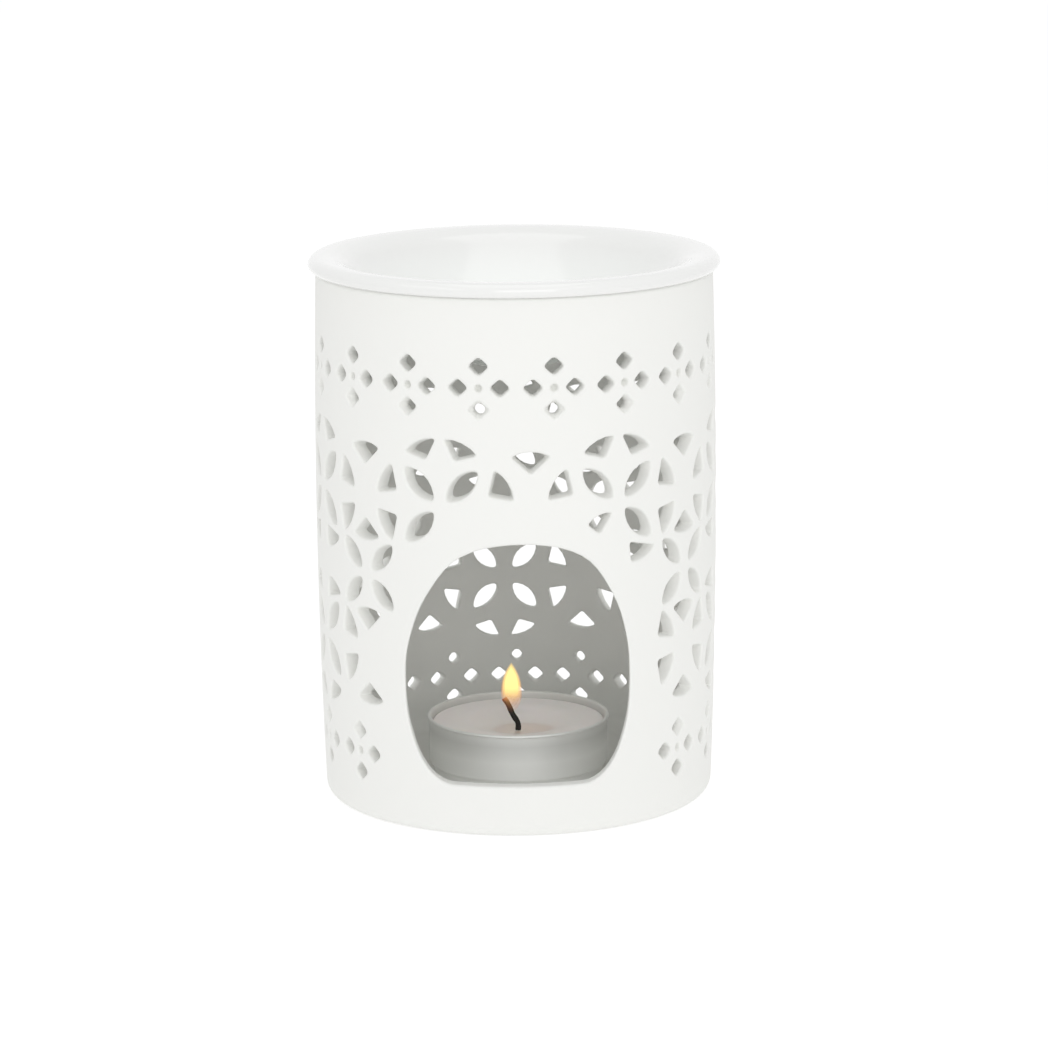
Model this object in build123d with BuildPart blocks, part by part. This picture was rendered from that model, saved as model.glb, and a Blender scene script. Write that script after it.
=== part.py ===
from build123d import *
from math import asin, cos, degrees, hypot, pi, radians, sin, sqrt
import os

# Essential oil burner
# A fretted ceramic body holds a tealight, and a glazed dish of water and oil rests on its mouth.
# Millimetres, +Z up. The origin is the middle of the foot, and the front opening faces -Y.
# A turn is the angle about Z from the front, in degrees, and grows towards +X.

os.makedirs("parts", exist_ok=True)

# How far every cut runs past the surface it opens
overrun = 1.0

# Body: the outside of the wall is one arc, a slight barrel with its belly a little above half way
body_height = 112.2
belly_radius = 42.2
belly_height = 64.0
foot_draw = 1.2
wall = 3.3
mouth_rounding = 0.7
foot_rounding = 2.6
foot_ring_width = 4.5
foot_hollow = 0.7
floor_thickness = 3.0
floor_cove = 4.0

# Front opening: an arch with a flat sill
opening_width = 46.2
opening_height = 50.8
sill_height = 11.0
opening_margin = 8.5
# Half of its edge from the crown to the sill, as shares of half its width and of its height
opening_edge_shares = [
    (0, 1), (0.53, 0.945), (0.825, 0.774), (0.97, 0.577),
    (1, 0.404), (0.965, 0.228), (0.818, 0.061), (0.584, 0),
]

# Flowers: two rows on seven columns, and a third row half a column on, midway between the two
flower_columns = 7
flower_turn = 4.2
middle_row_height = 53.2
row_pitch = 16.0
petal_length = 9.3
petal_width = 4.2
middle_petal_length = 8.3
middle_petal_width = 3.7
petal_place_share = (0.251, 0.278)
middle_petal_place_share = (0.235, 0.247)

# Cusped triangles round a flower of the upper row, as shares of the column pitch and the row pitch
# from its middle: the two ends of the round side, then the corner that faces the flower
flower_triangle_shares = [
    ((0.053, 0.875), (0.417, 0.681), (0.169, 0.600)),
    ((0.607, 0.500), (0.813, 0.106), (0.539, 0.163)),
    ((0.813, -0.106), (0.607, -0.500), (0.539, -0.163)),
    ((0.480, -0.619), (0.158, -0.788), (0.137, -0.525)),
]
# Triangles on the columns between, from the middle of the upper row
upper_filler_shares = ((-0.211, 0.669), (0.211, 0.669), (0, 0.444))
lower_filler_shares = ((0.205, -0.490), (-0.205, -0.490), (0, -0.256))
# The cut-short petal above the opening, from the middle of the upper flower to the right of it
short_petal_shares = ((-0.375, -0.244), (-0.085, -0.112), (-0.233, -0.372))
# How far a triangle's round side bulges past its chord
bulge_share = 0.12

# Two bands of diamonds, in groups of four about a blind dimple
groups_around = 17
band_turn = 0.4
upper_band_height = 93.9
lower_band_height = 14.8
diamond_width = 4.4
diamond_height = 4.1
diamond_side_spacing = 4.4
diamond_end_spacing = 4.4
diamond_hollow_share = 0.04
diamond_recess = 1.0
side_hole_share = 0.78
round_hole_radius = 1.15
dimple_radius = 0.95
dimple_depth = 0.8

# Dish: a rolled lip stands on the mouth of the body, and a short neck below it centres the bowl
lip_height = 3.0
lip_overhang = 1.6
lip_edge_radius = 1.3
lip_crown_width = 2.2
neck_clearance = 1.0
bowl_depth = 16.7
bowl_wall = 3.0
dish_foot_radius = 10.0

# Tealight cup: thin pressed foil with a rolled rim and a stepped base
cup_radius = 19.0
cup_height = 12.2
foil = 0.4
rim_bead_radius = 0.35
base_step_height = 1.7
base_step_inset = 0.9
base_corner = 0.5

# Candle: wax loose in the cup, a wick in a pressed sustainer, a little forward of the middle
wax_clearance = 0.3
wax_below_rim = 1.4
pool_depth = 1.2
pool_radius = 12.0
wick_radius = 0.8
wick_forward = 4.0
wick_stub = 1.3
wick_lean_turn = 38.0
wick_bend_radius = 5.0
wick_tip_run = 3.2
sustainer_radius = 6.3
sustainer_sheet = 0.4
sustainer_neck_radius = 1.5
sustainer_neck_height = 4.5

# Sizes that follow
barrel_arc = (belly_height**2 + foot_draw**2) / (2 * foot_draw)
barrel_centre = belly_radius - barrel_arc
column_pitch = pi * belly_radius / flower_columns
column_step = 360 / flower_columns
group_step = 360 / groups_around
floor_height = foot_hollow + floor_thickness


def wall_radius(height, depth=0):
    """Radius of the wall at a height, at a depth below its outer surface."""
    return barrel_centre + sqrt((barrel_arc - depth) ** 2 - (height - belly_height) ** 2)


mouth_radius = wall_radius(body_height)
foot_radius = wall_radius(0)


def hole_plane(turn, height):
    """Plane square to the wall, just clear of it, over the point at a turn and a height."""
    out = Vector(sin(radians(turn)), -cos(radians(turn)), 0)
    across = Vector(cos(radians(turn)), sin(radians(turn)), 0)
    reach = wall_radius(height) + overrun
    return Plane(origin=(reach * out.X, reach * out.Y, height), x_dir=across, z_dir=out)


def turn_of(distance):
    """Turn that spans a distance along the wall."""
    return degrees(distance / belly_radius)


# Outline of the front opening, seen from the front
opening_points = [
    (x * opening_width / 2, sill_height + z * opening_height) for x, z in opening_edge_shares
]
with BuildSketch() as opening_outline:
    with BuildLine():
        Spline(*opening_points, tangents=[(1, 0), (-1, 0)])
        Line(opening_points[-1], (0, sill_height))
        mirror(about=Plane.YZ)
    make_face()
opening_face = opening_outline.face()
edge_samples = 120
opening_edge = [opening_face.outer_wire() @ (k / edge_samples) for k in range(edge_samples)]


def clear_of_opening(turn, height):
    """Whether a hole's middle is further along the wall from the opening than the margin."""
    half_turn = (turn + 180) % 360 - 180
    if abs(half_turn) < 90 and opening_face.is_inside((belly_radius * sin(radians(half_turn)), height)):
        return False
    along = belly_radius * radians(half_turn)
    gaps = [hypot(along - belly_radius * asin(p.X / belly_radius), height - p.Y) for p in opening_edge]
    return min(gaps) > opening_margin


def hole_planes(turns, offset, height):
    """Planes for a hole at an offset along the wall from each turn, less those by the opening."""
    places = [(turn + turn_of(offset), height) for turn in turns]
    return [hole_plane(*place) for place in places if clear_of_opening(*place)]


def petal(length, width, tilt):
    """Pointed leaf between two arcs, about its own middle."""
    with BuildSketch() as leaf:
        with BuildLine():
            ThreePointArc((-length / 2, 0), (0, width / 2), (length / 2, 0))
            ThreePointArc((length / 2, 0), (0, -width / 2), (-length / 2, 0))
        make_face()
    return leaf.sketch.rotate(Axis.Z, tilt)


def scaled(shares, side, level):
    """Corner shares as lengths along and up the wall, mirrored by the signs side and level."""
    return [Vector(side * u * column_pitch, level * v * row_pitch) for u, v in shares]


def middle_of(corners):
    """Middle of a hole's corners."""
    return (corners[0] + corners[1] + corners[2]) / 3


def cusped_triangle(corners):
    """Triangle with one round side, about its own middle."""
    start, end, inner = [corner - middle_of(corners) for corner in corners]
    chord = end - start
    bulge = (start + end) / 2 - inner
    with BuildSketch() as triangle:
        with BuildLine():
            ThreePointArc(start, (start + end) / 2 + bulge.normalized() * chord.length * bulge_share, end)
            Polyline(end, inner, start)
        make_face()
    return triangle.sketch


def diamond(share):
    """Four-pointed diamond with hollow sides, a share of the full size."""
    across = share * diamond_width / 2
    up = share * diamond_height / 2
    hollow = share * diamond_hollow_share * diamond_width
    tips = [(across, 0), (0, up), (-across, 0), (0, -up), (across, 0)]
    with BuildSketch() as star:
        with BuildLine():
            for (x1, y1), (x2, y2) in zip(tips, tips[1:]):
                middle = Vector(x1 + x2, y1 + y2) / 2
                ThreePointArc((x1, y1), middle - middle.normalized() * hollow, (x2, y2))
        make_face()
    return star.sketch


def disc(radius):
    """Round hole."""
    with BuildSketch() as hole:
        Circle(radius)
    return hole.sketch


# Fretwork: every hole is an outline and the planes it is cut on
flower_turns = [flower_turn + (k + 0.5) * column_step for k in range(flower_columns)]
between_turns = [flower_turn + k * column_step for k in range(flower_columns)]
through_holes = []
for level in (1, -1):
    row_height = middle_row_height + level * row_pitch
    for side in (1, -1):
        for rise in (1, -1):
            offset = side * petal_place_share[0] * column_pitch
            height = row_height + rise * petal_place_share[1] * row_pitch
            outline = petal(petal_length, petal_width, 45 * side * rise)
            through_holes.append((outline, hole_planes(flower_turns, offset, height)))
        for shares in flower_triangle_shares:
            corners = scaled(shares, side, level)
            place = middle_of(corners)
            planes = hole_planes(flower_turns, place.X, row_height + place.Y)
            through_holes.append((cusped_triangle(corners), planes))
    for shares in (upper_filler_shares, lower_filler_shares):
        corners = scaled(shares, 1, level)
        planes = hole_planes(between_turns, 0, row_height + middle_of(corners).Y)
        through_holes.append((cusped_triangle(corners), planes))

for side in (1, -1):
    for rise in (1, -1):
        offset = side * middle_petal_place_share[0] * column_pitch
        height = middle_row_height + rise * middle_petal_place_share[1] * row_pitch
        outline = petal(middle_petal_length, middle_petal_width, 45 * side * rise)
        through_holes.append((outline, hole_planes(between_turns, offset, height)))

short_petal = scaled(short_petal_shares, 1, 1)
short_petal_turn = flower_turns[0] + turn_of(middle_of(short_petal).X)
short_petal_height = middle_row_height + row_pitch + middle_of(short_petal).Y
through_holes.append((cusped_triangle(short_petal), [hole_plane(short_petal_turn, short_petal_height)]))

# Bands: outwards from the flowers the holes of a group grow from round to full diamonds
recesses = []
dimples = []
for band_height, level in ((upper_band_height, 1), (lower_band_height, -1)):
    turns = [band_turn + (k + 0.5) * group_step for k in range(groups_around)]
    turns = [turn for turn in turns if clear_of_opening(turn, band_height)]
    far = [hole_plane(turn, band_height + level * diamond_end_spacing) for turn in turns]
    near = [hole_plane(turn, band_height - level * diamond_end_spacing) for turn in turns]
    aside = turn_of(diamond_side_spacing)
    sides = [hole_plane(turn + side * aside, band_height) for turn in turns for side in (1, -1)]
    through_holes += [(diamond(1), far), (diamond(side_hole_share), sides), (disc(round_hole_radius), near)]
    recesses += [(diamond(1), sides), (diamond(1), near)]
    dimples.append((disc(dimple_radius), [hole_plane(turn, band_height) for turn in turns]))

# Body
with BuildPart() as burner_body:
    with BuildSketch(Plane.XZ) as body_section:
        with BuildLine():
            ThreePointArc((foot_radius, 0), (belly_radius, belly_height), (mouth_radius, body_height))
            Line((mouth_radius, body_height), (wall_radius(body_height, wall), body_height))
            ThreePointArc(
                (wall_radius(body_height, wall), body_height),
                (wall_radius(belly_height, wall), belly_height),
                (wall_radius(floor_height, wall), floor_height),
            )
            Polyline(
                (wall_radius(floor_height, wall), floor_height),
                (0, floor_height),
                (0, foot_hollow),
                (foot_radius - foot_ring_width, foot_hollow),
                (foot_radius - foot_ring_width, 0),
                (foot_radius, 0),
            )
        make_face()
        corners = body_section.vertices()
        fillet(corners.sort_by_distance((mouth_radius, body_height))[0:2], mouth_rounding)
        corners = body_section.vertices()
        fillet(corners.sort_by_distance((foot_radius, 0))[0], foot_rounding)
        corners = body_section.vertices()
        fillet(corners.sort_by_distance((wall_radius(floor_height, wall), floor_height))[0], floor_cove)
    revolve(axis=Axis.Z)

    with BuildSketch(Plane.XZ):
        add(opening_outline.sketch)
    extrude(amount=belly_radius + overrun, mode=Mode.SUBTRACT)

    for outline, planes in through_holes:
        with BuildSketch(*planes):
            add(outline)
    extrude(amount=-(wall + 2 * overrun), mode=Mode.SUBTRACT)

    for outline, planes in recesses:
        with BuildSketch(*planes):
            add(outline)
    extrude(amount=-(diamond_recess + overrun), mode=Mode.SUBTRACT)

    for outline, planes in dimples:
        with BuildSketch(*planes):
            add(outline)
    extrude(amount=-(dimple_depth + overrun), mode=Mode.SUBTRACT)

burner_body.part.label = "burner_body"
export_step(burner_body.part, "parts/burner_body.step")

# Dish
dish_radius = mouth_radius + lip_overhang
crest_radius = dish_radius - lip_crown_width
crest_height = body_height + lip_height
neck_radius = wall_radius(body_height, wall) - neck_clearance
bowl_radius = neck_radius - bowl_wall
bowl_floor = body_height - bowl_depth
dish_underside = bowl_floor - bowl_wall
bowl_sphere = (bowl_radius**2 + bowl_depth**2) / (2 * bowl_depth)
bowl_rim_turn = asin(bowl_radius / bowl_sphere)
bowl_middle = (
    bowl_sphere * sin(bowl_rim_turn / 2),
    bowl_floor + bowl_sphere * (1 - cos(bowl_rim_turn / 2)),
)


def underside_height(radius):
    """Height of the bowl's underside, one wall outside its hollow, at a radius."""
    return bowl_floor + bowl_sphere - sqrt((bowl_sphere + bowl_wall) ** 2 - radius**2)


with BuildPart() as oil_dish:
    with BuildSketch(Plane.XZ):
        with BuildLine():
            bowl = ThreePointArc((0, bowl_floor), bowl_middle, (bowl_radius, body_height))
            TangentArc(bowl @ 1, (crest_radius, crest_height), tangent=bowl % 1)
            EllipticalCenterArc(
                (crest_radius, body_height + lip_edge_radius),
                lip_crown_width,
                lip_height - lip_edge_radius,
                arc_size=90,
            )
            JernArc((dish_radius, body_height + lip_edge_radius), (0, -1), lip_edge_radius, -90)
            Polyline(
                (dish_radius - lip_edge_radius, body_height),
                (neck_radius, body_height),
                (neck_radius, underside_height(neck_radius)),
            )
            ThreePointArc(
                (neck_radius, underside_height(neck_radius)),
                (bowl_radius / 2, underside_height(bowl_radius / 2)),
                (dish_foot_radius, underside_height(dish_foot_radius)),
            )
            Polyline(
                (dish_foot_radius, underside_height(dish_foot_radius)),
                (dish_foot_radius, dish_underside),
                (0, dish_underside),
                (0, bowl_floor),
            )
        make_face()
    revolve(axis=Axis.Z)
oil_dish.part.label = "oil_dish"
export_step(oil_dish.part, "parts/oil_dish.step")

# Tealight cup
step_radius = cup_radius - base_step_inset
cup_inside = cup_radius - foil
with BuildPart() as tealight_cup:
    with BuildSketch(Plane.XZ):
        with BuildLine():
            Polyline(
                (0, floor_height),
                (step_radius - base_corner, floor_height),
                (step_radius, floor_height + base_corner),
                (step_radius, floor_height + base_step_height),
                (cup_radius, floor_height + base_step_height + base_corner),
                (cup_radius, floor_height + cup_height - rim_bead_radius),
                (cup_inside, floor_height + cup_height - rim_bead_radius),
                (cup_inside, floor_height + base_step_height + base_corner),
                (step_radius - foil, floor_height + base_step_height),
                (step_radius - foil, floor_height + foil),
                (0, floor_height + foil),
                close=True,
            )
        make_face()
        with Locations((cup_radius, floor_height + cup_height - rim_bead_radius)):
            Circle(rim_bead_radius)
    revolve(axis=Axis.Z)
tealight_cup.part.label = "tealight_cup"
export_step(tealight_cup.part, "parts/tealight_cup.step")

# Sustainer: a thin disc with a neck that grips the wick
candle_base = floor_height + foil
with BuildPart() as wick_sustainer:
    with BuildSketch(Plane.XY.offset(candle_base)):
        with Locations((0, -wick_forward)):
            Circle(sustainer_radius)
            Circle(wick_radius, mode=Mode.SUBTRACT)
    extrude(amount=sustainer_sheet)
    with BuildSketch(Plane.XY.offset(candle_base + sustainer_sheet)):
        with Locations((0, -wick_forward)):
            Circle(sustainer_neck_radius)
            Circle(wick_radius, mode=Mode.SUBTRACT)
    extrude(amount=sustainer_neck_height - sustainer_sheet)
wick_sustainer.part.label = "wick_sustainer"
export_step(wick_sustainer.part, "parts/wick_sustainer.step")

# Wick: upright in the wax, then bent over to the left above it
wax_edge_height = floor_height + cup_height - wax_below_rim
pool_height = wax_edge_height - pool_depth
bend_start = pool_height + wick_stub
with BuildPart() as wick:
    with BuildLine() as wick_line:
        upright = Line((0, -wick_forward, candle_base), (0, -wick_forward, bend_start))
        lean = Vector(-sin(radians(wick_lean_turn)), 0, cos(radians(wick_lean_turn)))
        bend_end = Vector(
            -wick_bend_radius * (1 - cos(radians(wick_lean_turn))),
            -wick_forward,
            bend_start + wick_bend_radius * sin(radians(wick_lean_turn)),
        )
        bend = TangentArc(upright @ 1, bend_end, tangent=(0, 0, 1))
        Line(bend @ 1, bend_end + lean * wick_tip_run)
    with BuildSketch(Plane.XY.offset(candle_base)):
        with Locations((0, -wick_forward)):
            Circle(wick_radius)
    sweep()
wick.part.label = "wick"
export_step(wick.part, "parts/wick.step")

# Wax: dished by the melt pool, and bored for the wick and its sustainer
wax_radius = cup_inside - wax_clearance
wax_step_radius = step_radius - foil - wax_clearance
with BuildPart() as tealight_wax:
    with BuildSketch(Plane.XZ):
        with BuildLine():
            TangentArc((0, pool_height), (pool_radius, wax_edge_height), tangent=(1, 0))
            Polyline(
                (0, pool_height),
                (0, candle_base),
                (wax_step_radius, candle_base),
                (wax_step_radius, floor_height + base_step_height + base_corner),
                (wax_radius, floor_height + base_step_height + 2 * base_corner),
                (wax_radius, wax_edge_height),
                (pool_radius, wax_edge_height),
            )
        make_face()
    revolve(axis=Axis.Z)
    add(wick.part, mode=Mode.SUBTRACT)
    add(wick_sustainer.part, mode=Mode.SUBTRACT)
tealight_wax.part.label = "tealight_wax"
export_step(tealight_wax.part, "parts/tealight_wax.step")
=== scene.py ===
# %% [markdown]
# # A fretted oil burner
#
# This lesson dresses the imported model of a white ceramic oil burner. The real thing is three
# loose pieces: a barrel of matt, unglazed clay with a pattern of holes cut through its wall, a
# glazed dish that rests on its mouth, and a tealight that stands on its floor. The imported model
# holds their sizes and how they move. Here each of them is modelled again with the soft edges,
# the rolled rims and the finishes that the photograph shows.

from math import asin, atan2, cos, pi, radians, sin, sqrt, tan

import bmesh
import bpy
from mathutils import Matrix, Vector
from mathutils.geometry import interpolate_bezier


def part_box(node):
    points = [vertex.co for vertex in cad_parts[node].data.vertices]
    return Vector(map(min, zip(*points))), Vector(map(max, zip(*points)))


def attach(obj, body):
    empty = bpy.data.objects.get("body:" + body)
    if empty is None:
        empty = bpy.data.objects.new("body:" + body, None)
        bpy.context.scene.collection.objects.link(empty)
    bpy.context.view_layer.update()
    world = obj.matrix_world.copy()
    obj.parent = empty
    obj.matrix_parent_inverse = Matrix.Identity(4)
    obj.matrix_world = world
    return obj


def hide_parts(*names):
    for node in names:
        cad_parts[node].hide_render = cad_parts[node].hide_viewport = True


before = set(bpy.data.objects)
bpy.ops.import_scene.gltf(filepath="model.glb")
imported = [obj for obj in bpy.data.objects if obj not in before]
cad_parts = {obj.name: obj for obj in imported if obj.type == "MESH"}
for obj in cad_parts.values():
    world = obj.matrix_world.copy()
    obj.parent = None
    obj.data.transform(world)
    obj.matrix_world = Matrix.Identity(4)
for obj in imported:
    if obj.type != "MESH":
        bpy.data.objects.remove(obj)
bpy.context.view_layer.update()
mm = 0.001

# %% [markdown]
# ## Sizes
#
# The burner's measurements are written once, in millimetres, as on a potter's drawing. The
# outside of the wall is one long arc, a slight barrel whose belly is a little above half way.

# %% Sizes of the body
body_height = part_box("burner_body")[1].z / mm
belly_radius = 42.2
belly_height = 64.0
foot_draw = 1.2
wall = 3.3
mouth_rounding = 0.7
foot_rounding = 2.6
foot_ring_width = 4.5
foot_hollow = 0.7
floor_thickness = 3.0
floor_height = foot_hollow + floor_thickness
floor_cove = 4.0

barrel_arc = (belly_height**2 + foot_draw**2) / (2 * foot_draw)
girth = 2 * pi * belly_radius


def wall_radius(height, depth=0.0):
    """Radius of the wall at a height, at a depth below its outer surface."""
    return belly_radius - barrel_arc + sqrt((barrel_arc - depth) ** 2 - (height - belly_height) ** 2)


print(f"Mouth {wall_radius(body_height):.2f} mm, foot {wall_radius(0):.2f} mm in radius")

# %% [markdown]
# ## Drawing with a spun point
#
# Every outline here, a hole in the wall or the section of a dish, is straight lines and arcs.
# The spin operator can draw both: it carries a point round a centre in small steps, or along a
# line if its angle is nought. So one helper walks from corner to corner and leaves a trail of
# edges, on the upright plane y = 0. A bulge is how far a side swells to the walker's right.

# %% A helper that traces an outline
def trace(bm, corners, bulges, steps):
    """Trail of edges through the corners, each side an arc of the given bulge, in some steps."""
    pen = bm.verts.new((corners[0][0], 0, corners[0][1]))
    trail = [pen]
    for corner, bulge, count in zip(corners[1:], bulges, steps):
        start, end = pen.co.copy(), Vector((corner[0], 0, corner[1]))
        chord = end - start
        if bulge:
            right = Vector((chord.z, 0, -chord.x)).normalized()
            radius = (chord.length_squared / 4 + bulge**2) / (2 * bulge)
            centre = (start + end) / 2 + right * (bulge - radius)
            step, angle = Vector(), -4 * atan2(2 * bulge, chord.length)
        else:
            centre, step, angle = start, chord / count, 0
        spun = bmesh.ops.spin(
            bm, geom=[pen], cent=centre, axis=(0, 1, 0), dvec=step, angle=angle, steps=count,
            use_merge=False, use_duplicate=False,
        )
        pen = [part for part in spun["geom_last"] if isinstance(part, bmesh.types.BMVert)][0]
        trail.append(pen)
    return trail


def round_corners(bm, corners, rounding, segments):
    """Swaps corner points of an outline for small arcs."""
    bmesh.ops.bevel(
        bm, geom=corners, offset=rounding, offset_type="OFFSET", segments=segments,
        profile=0.5, affect="VERTICES", material=-1,
    )


# %% [markdown]
# ## The wall, rolled out flat
#
# The holes are a nuisance on a round wall and easy on a flat one, so the wall is made the way a
# potter makes it from a slab: drawn flat, cut, and rolled up. On the slab, x runs along the wall,
# z is the height, and y is the depth below the outer face. The front opening is in the middle.
#
# The opening was cut by hand, and its crown leans a little to the right.

# %% Outline of the front opening
opening_width = 46.2
opening_height = 50.8
sill_height = 11.0
opening_edge_shares = [
    (0, 1), (0.53, 0.945), (0.825, 0.774), (0.97, 0.577),
    (1, 0.404), (0.965, 0.228), (0.818, 0.061), (0.584, 0),
]
opening_steps = 5
opening_lean = 1.1


def along_wall(across):
    """Distance along the outer face of a point that is some way across from the middle."""
    return belly_radius * asin(across / belly_radius)


def lean(point):
    """Moves a point of the upper half a little to the right, most at the crown."""
    share = (point.y - sill_height) / opening_height
    return point + Vector((opening_lean * max(0, 2 * share - 1), 0))


def opening_outline():
    """Points round the opening on the slab, from its crown down the right side and back up."""
    knots = [
        Vector((u * opening_width / 2, sill_height + v * opening_height)) for u, v in opening_edge_shares
    ]
    slopes = [Vector((1, 0))]
    for before, after in zip(knots, knots[2:]):
        slopes.append((after - before).normalized())
    slopes.append(Vector((-1, 0)))
    half = []
    for (a, slope_a), (b, slope_b) in zip(zip(knots, slopes), zip(knots[1:], slopes[1:])):
        reach = (b - a).length / 3
        half += interpolate_bezier(a, a + slope_a * reach, b - slope_b * reach, b, opening_steps + 1)[:-1]
    half.append(knots[-1])
    half = [Vector((along_wall(point.x), point.y)) for point in half]
    other_half = [Vector((-point.x, point.y)) for point in reversed(half[1:])]
    return [lean(point) for point in half + other_half]


opening_points = opening_outline()
print(len(opening_points), "points round the opening")

# %% [markdown]
# The fretwork is two rows of four-petalled flowers on seven columns, with a third row half a
# column on between them. Cusped triangles fill the corners, and bands of small diamonds in
# groups of four run above and below. Near the opening the cutter left solid clay, so a hole
# whose middle would come too close to the opening is left out.

# %% Sizes of the fretwork
flower_columns = 7
flower_start = 4.2 / 360 * girth
middle_row_height = 53.2
row_pitch = 16.0
column_pitch = girth / flower_columns / 2
petal_length, petal_width = 9.3, 4.2
middle_petal_length, middle_petal_width = 8.3, 3.7
petal_place_share = (0.251, 0.278)
middle_petal_place_share = (0.235, 0.247)
flower_triangle_shares = [
    ((0.053, 0.875), (0.417, 0.681), (0.169, 0.600)),
    ((0.607, 0.500), (0.813, 0.106), (0.539, 0.163)),
    ((0.813, -0.106), (0.607, -0.500), (0.539, -0.163)),
    ((0.480, -0.619), (0.158, -0.788), (0.137, -0.525)),
]
upper_filler_shares = ((-0.211, 0.669), (0.211, 0.669), (0, 0.444))
lower_filler_shares = ((0.205, -0.490), (-0.205, -0.490), (0, -0.256))
short_petal_shares = ((-0.375, -0.244), (-0.085, -0.112), (-0.233, -0.372))
triangle_bulge_share = 0.12
opening_margin = 8.5

groups_around = 17
band_start = 0.4 / 360 * girth
upper_band_height = 93.9
lower_band_height = 14.8
diamond_width, diamond_height = 4.6, 4.2
diamond_spacing = 4.4
diamond_hollow_share = 0.02
side_hole_share = 0.92
round_hole_radius = 1.15
dimple_radius = 0.75

# %% [markdown]
# A hole is held as its corners, measured from its own middle, with the bulge of each side. Its
# kind says how it goes through the wall: straight, or as a soft hollow with a smaller hole at
# the bottom, or as a blind dimple.

# %% Shapes of the holes
def petal(length, width, tilt):
    """Two tips joined by arcs."""
    tip = Vector((length / 2 * cos(tilt), length / 2 * sin(tilt)))
    return [-tip, tip], [width / 2] * 2, [7] * 2


def cusped_triangle(shares, side, level):
    """Triangle whose first side is round, and its middle from the middle of its flower."""
    corners = [Vector((side * u * column_pitch, level * v * row_pitch)) for u, v in shares]
    middle = sum(corners, Vector((0, 0))) / 3
    bulge = (corners[1] - corners[0]).length * triangle_bulge_share
    corners = [corner - middle for corner in corners]
    bulges = [bulge, 0, 0]
    if side * level > 0:
        corners = [corners[1], corners[0], corners[2]]
    return (corners, bulges, [4, 3, 3]), middle


def diamond():
    """Four points joined by slightly hollow sides."""
    across, up = Vector((diamond_width / 2, 0)), Vector((0, diamond_height / 2))
    return [across, up, -across, -up], [-diamond_hollow_share * diamond_width] * 4, [3] * 4


def disc(radius):
    """Round hole."""
    across, up = Vector((radius, 0)), Vector((0, radius))
    bulge = radius * (1 - cos(pi / 4))
    return [across, up, -across, -up], [bulge] * 4, [3] * 4


# %% Where the holes are
def clear_of_opening(middle):
    """Whether a hole's middle is far enough from the opening, and not in it."""
    nearest = min(opening_points, key=lambda point: (point - middle).length)
    heart = Vector((0, sill_height + opening_height / 2))
    outside = (middle - nearest).dot(nearest - heart) > 0
    return outside and (middle - nearest).length > opening_margin


def round_the_wall(start, count):
    """Places along the wall, equally far apart, within half a girth of the middle."""
    places = [start + k * girth / count for k in range(count)]
    return [(place + girth / 2) % girth - girth / 2 for place in places]


holes = []


def cut(shape, places, kind="straight"):
    """Notes a hole of this shape at each place that is clear of the opening."""
    holes.extend((shape, place, kind) for place in places if clear_of_opening(place))


def cut_flowers(length, width, place_share, xs, row):
    """Four petals round each flower of a row."""
    for side in (1, -1):
        for rise in (1, -1):
            step = Vector((side * place_share[0] * column_pitch, rise * place_share[1] * row_pitch))
            shape = petal(length, width, side * rise * pi / 4)
            cut(shape, [Vector((x, row)) + step for x in xs])


flowers = round_the_wall(flower_start + column_pitch, flower_columns)
between = round_the_wall(flower_start, flower_columns)
cut_flowers(middle_petal_length, middle_petal_width, middle_petal_place_share, between, middle_row_height)
for level in (1, -1):
    row = middle_row_height + level * row_pitch
    cut_flowers(petal_length, petal_width, petal_place_share, flowers, row)
    for side in (1, -1):
        for shares in flower_triangle_shares:
            shape, middle = cusped_triangle(shares, side, level)
            cut(shape, [Vector((x, row)) + middle for x in flowers])
    for shares in (upper_filler_shares, lower_filler_shares):
        shape, middle = cusped_triangle(shares, 1, level)
        cut(shape, [Vector((x, row)) + middle for x in between])

shape, middle = cusped_triangle(short_petal_shares, 1, 1)
holes.append((shape, Vector((flowers[0], middle_row_height + row_pitch)) + middle, "straight"))

for band_height, level in ((upper_band_height, 1), (lower_band_height, -1)):
    groups = round_the_wall(band_start + girth / groups_around / 2, groups_around)
    groups = [x for x in groups if clear_of_opening(Vector((x, band_height)))]
    for x in groups:
        middle = Vector((x, band_height))
        up = Vector((0, level * diamond_spacing))
        across = Vector((diamond_spacing, 0))
        holes.append((diamond(), middle + up, "diamond"))
        holes += [(diamond(), middle + side * across, "small diamond") for side in (1, -1)]
        holes.append((diamond(), middle - up, "small round"))
        holes.append((disc(dimple_radius), middle, "dimple"))
print(len(holes), "holes and dimples")

# %% [markdown]
# Each point of a hole's edge carries notes that the later steps read: its home on the outer
# face, the step from there to the throat of the hole, the step from the throat to a smaller
# hole at the bottom, and the middle of the hole. They are kept as layers of the mesh, so when
# an edge is split, the new point gets its own notes in between.

# %% Draw the outlines on the slab
slab = bmesh.new()
note_home = slab.verts.layers.float_vector.new("home")
note_throat = slab.verts.layers.float_vector.new("throat")
note_narrow = slab.verts.layers.float_vector.new("narrow")
note_middle = slab.verts.layers.float.new("middle")
note_kind = slab.verts.layers.int.new("kind")
kinds = ["frame", "straight", "diamond", "small diamond", "small round", "dimple", "opening"]

edge_rounding = 0.6
corner_rounding = 0.7
diamond_rounding = 0.95
inside_taper_share = 0.2
spare_length = 12


def out_of_hole(point):
    """Direction out of a closed outline at one of its points, longer at a corner."""
    before, after = [edge.other_vert(point).co for edge in point.link_edges]
    normals = [Vector((side.z, 0, -side.x)).normalized() for side in (point.co - before, after - point.co)]
    return (normals[0] + normals[1]) / (1 + normals[0].dot(normals[1]))


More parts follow.
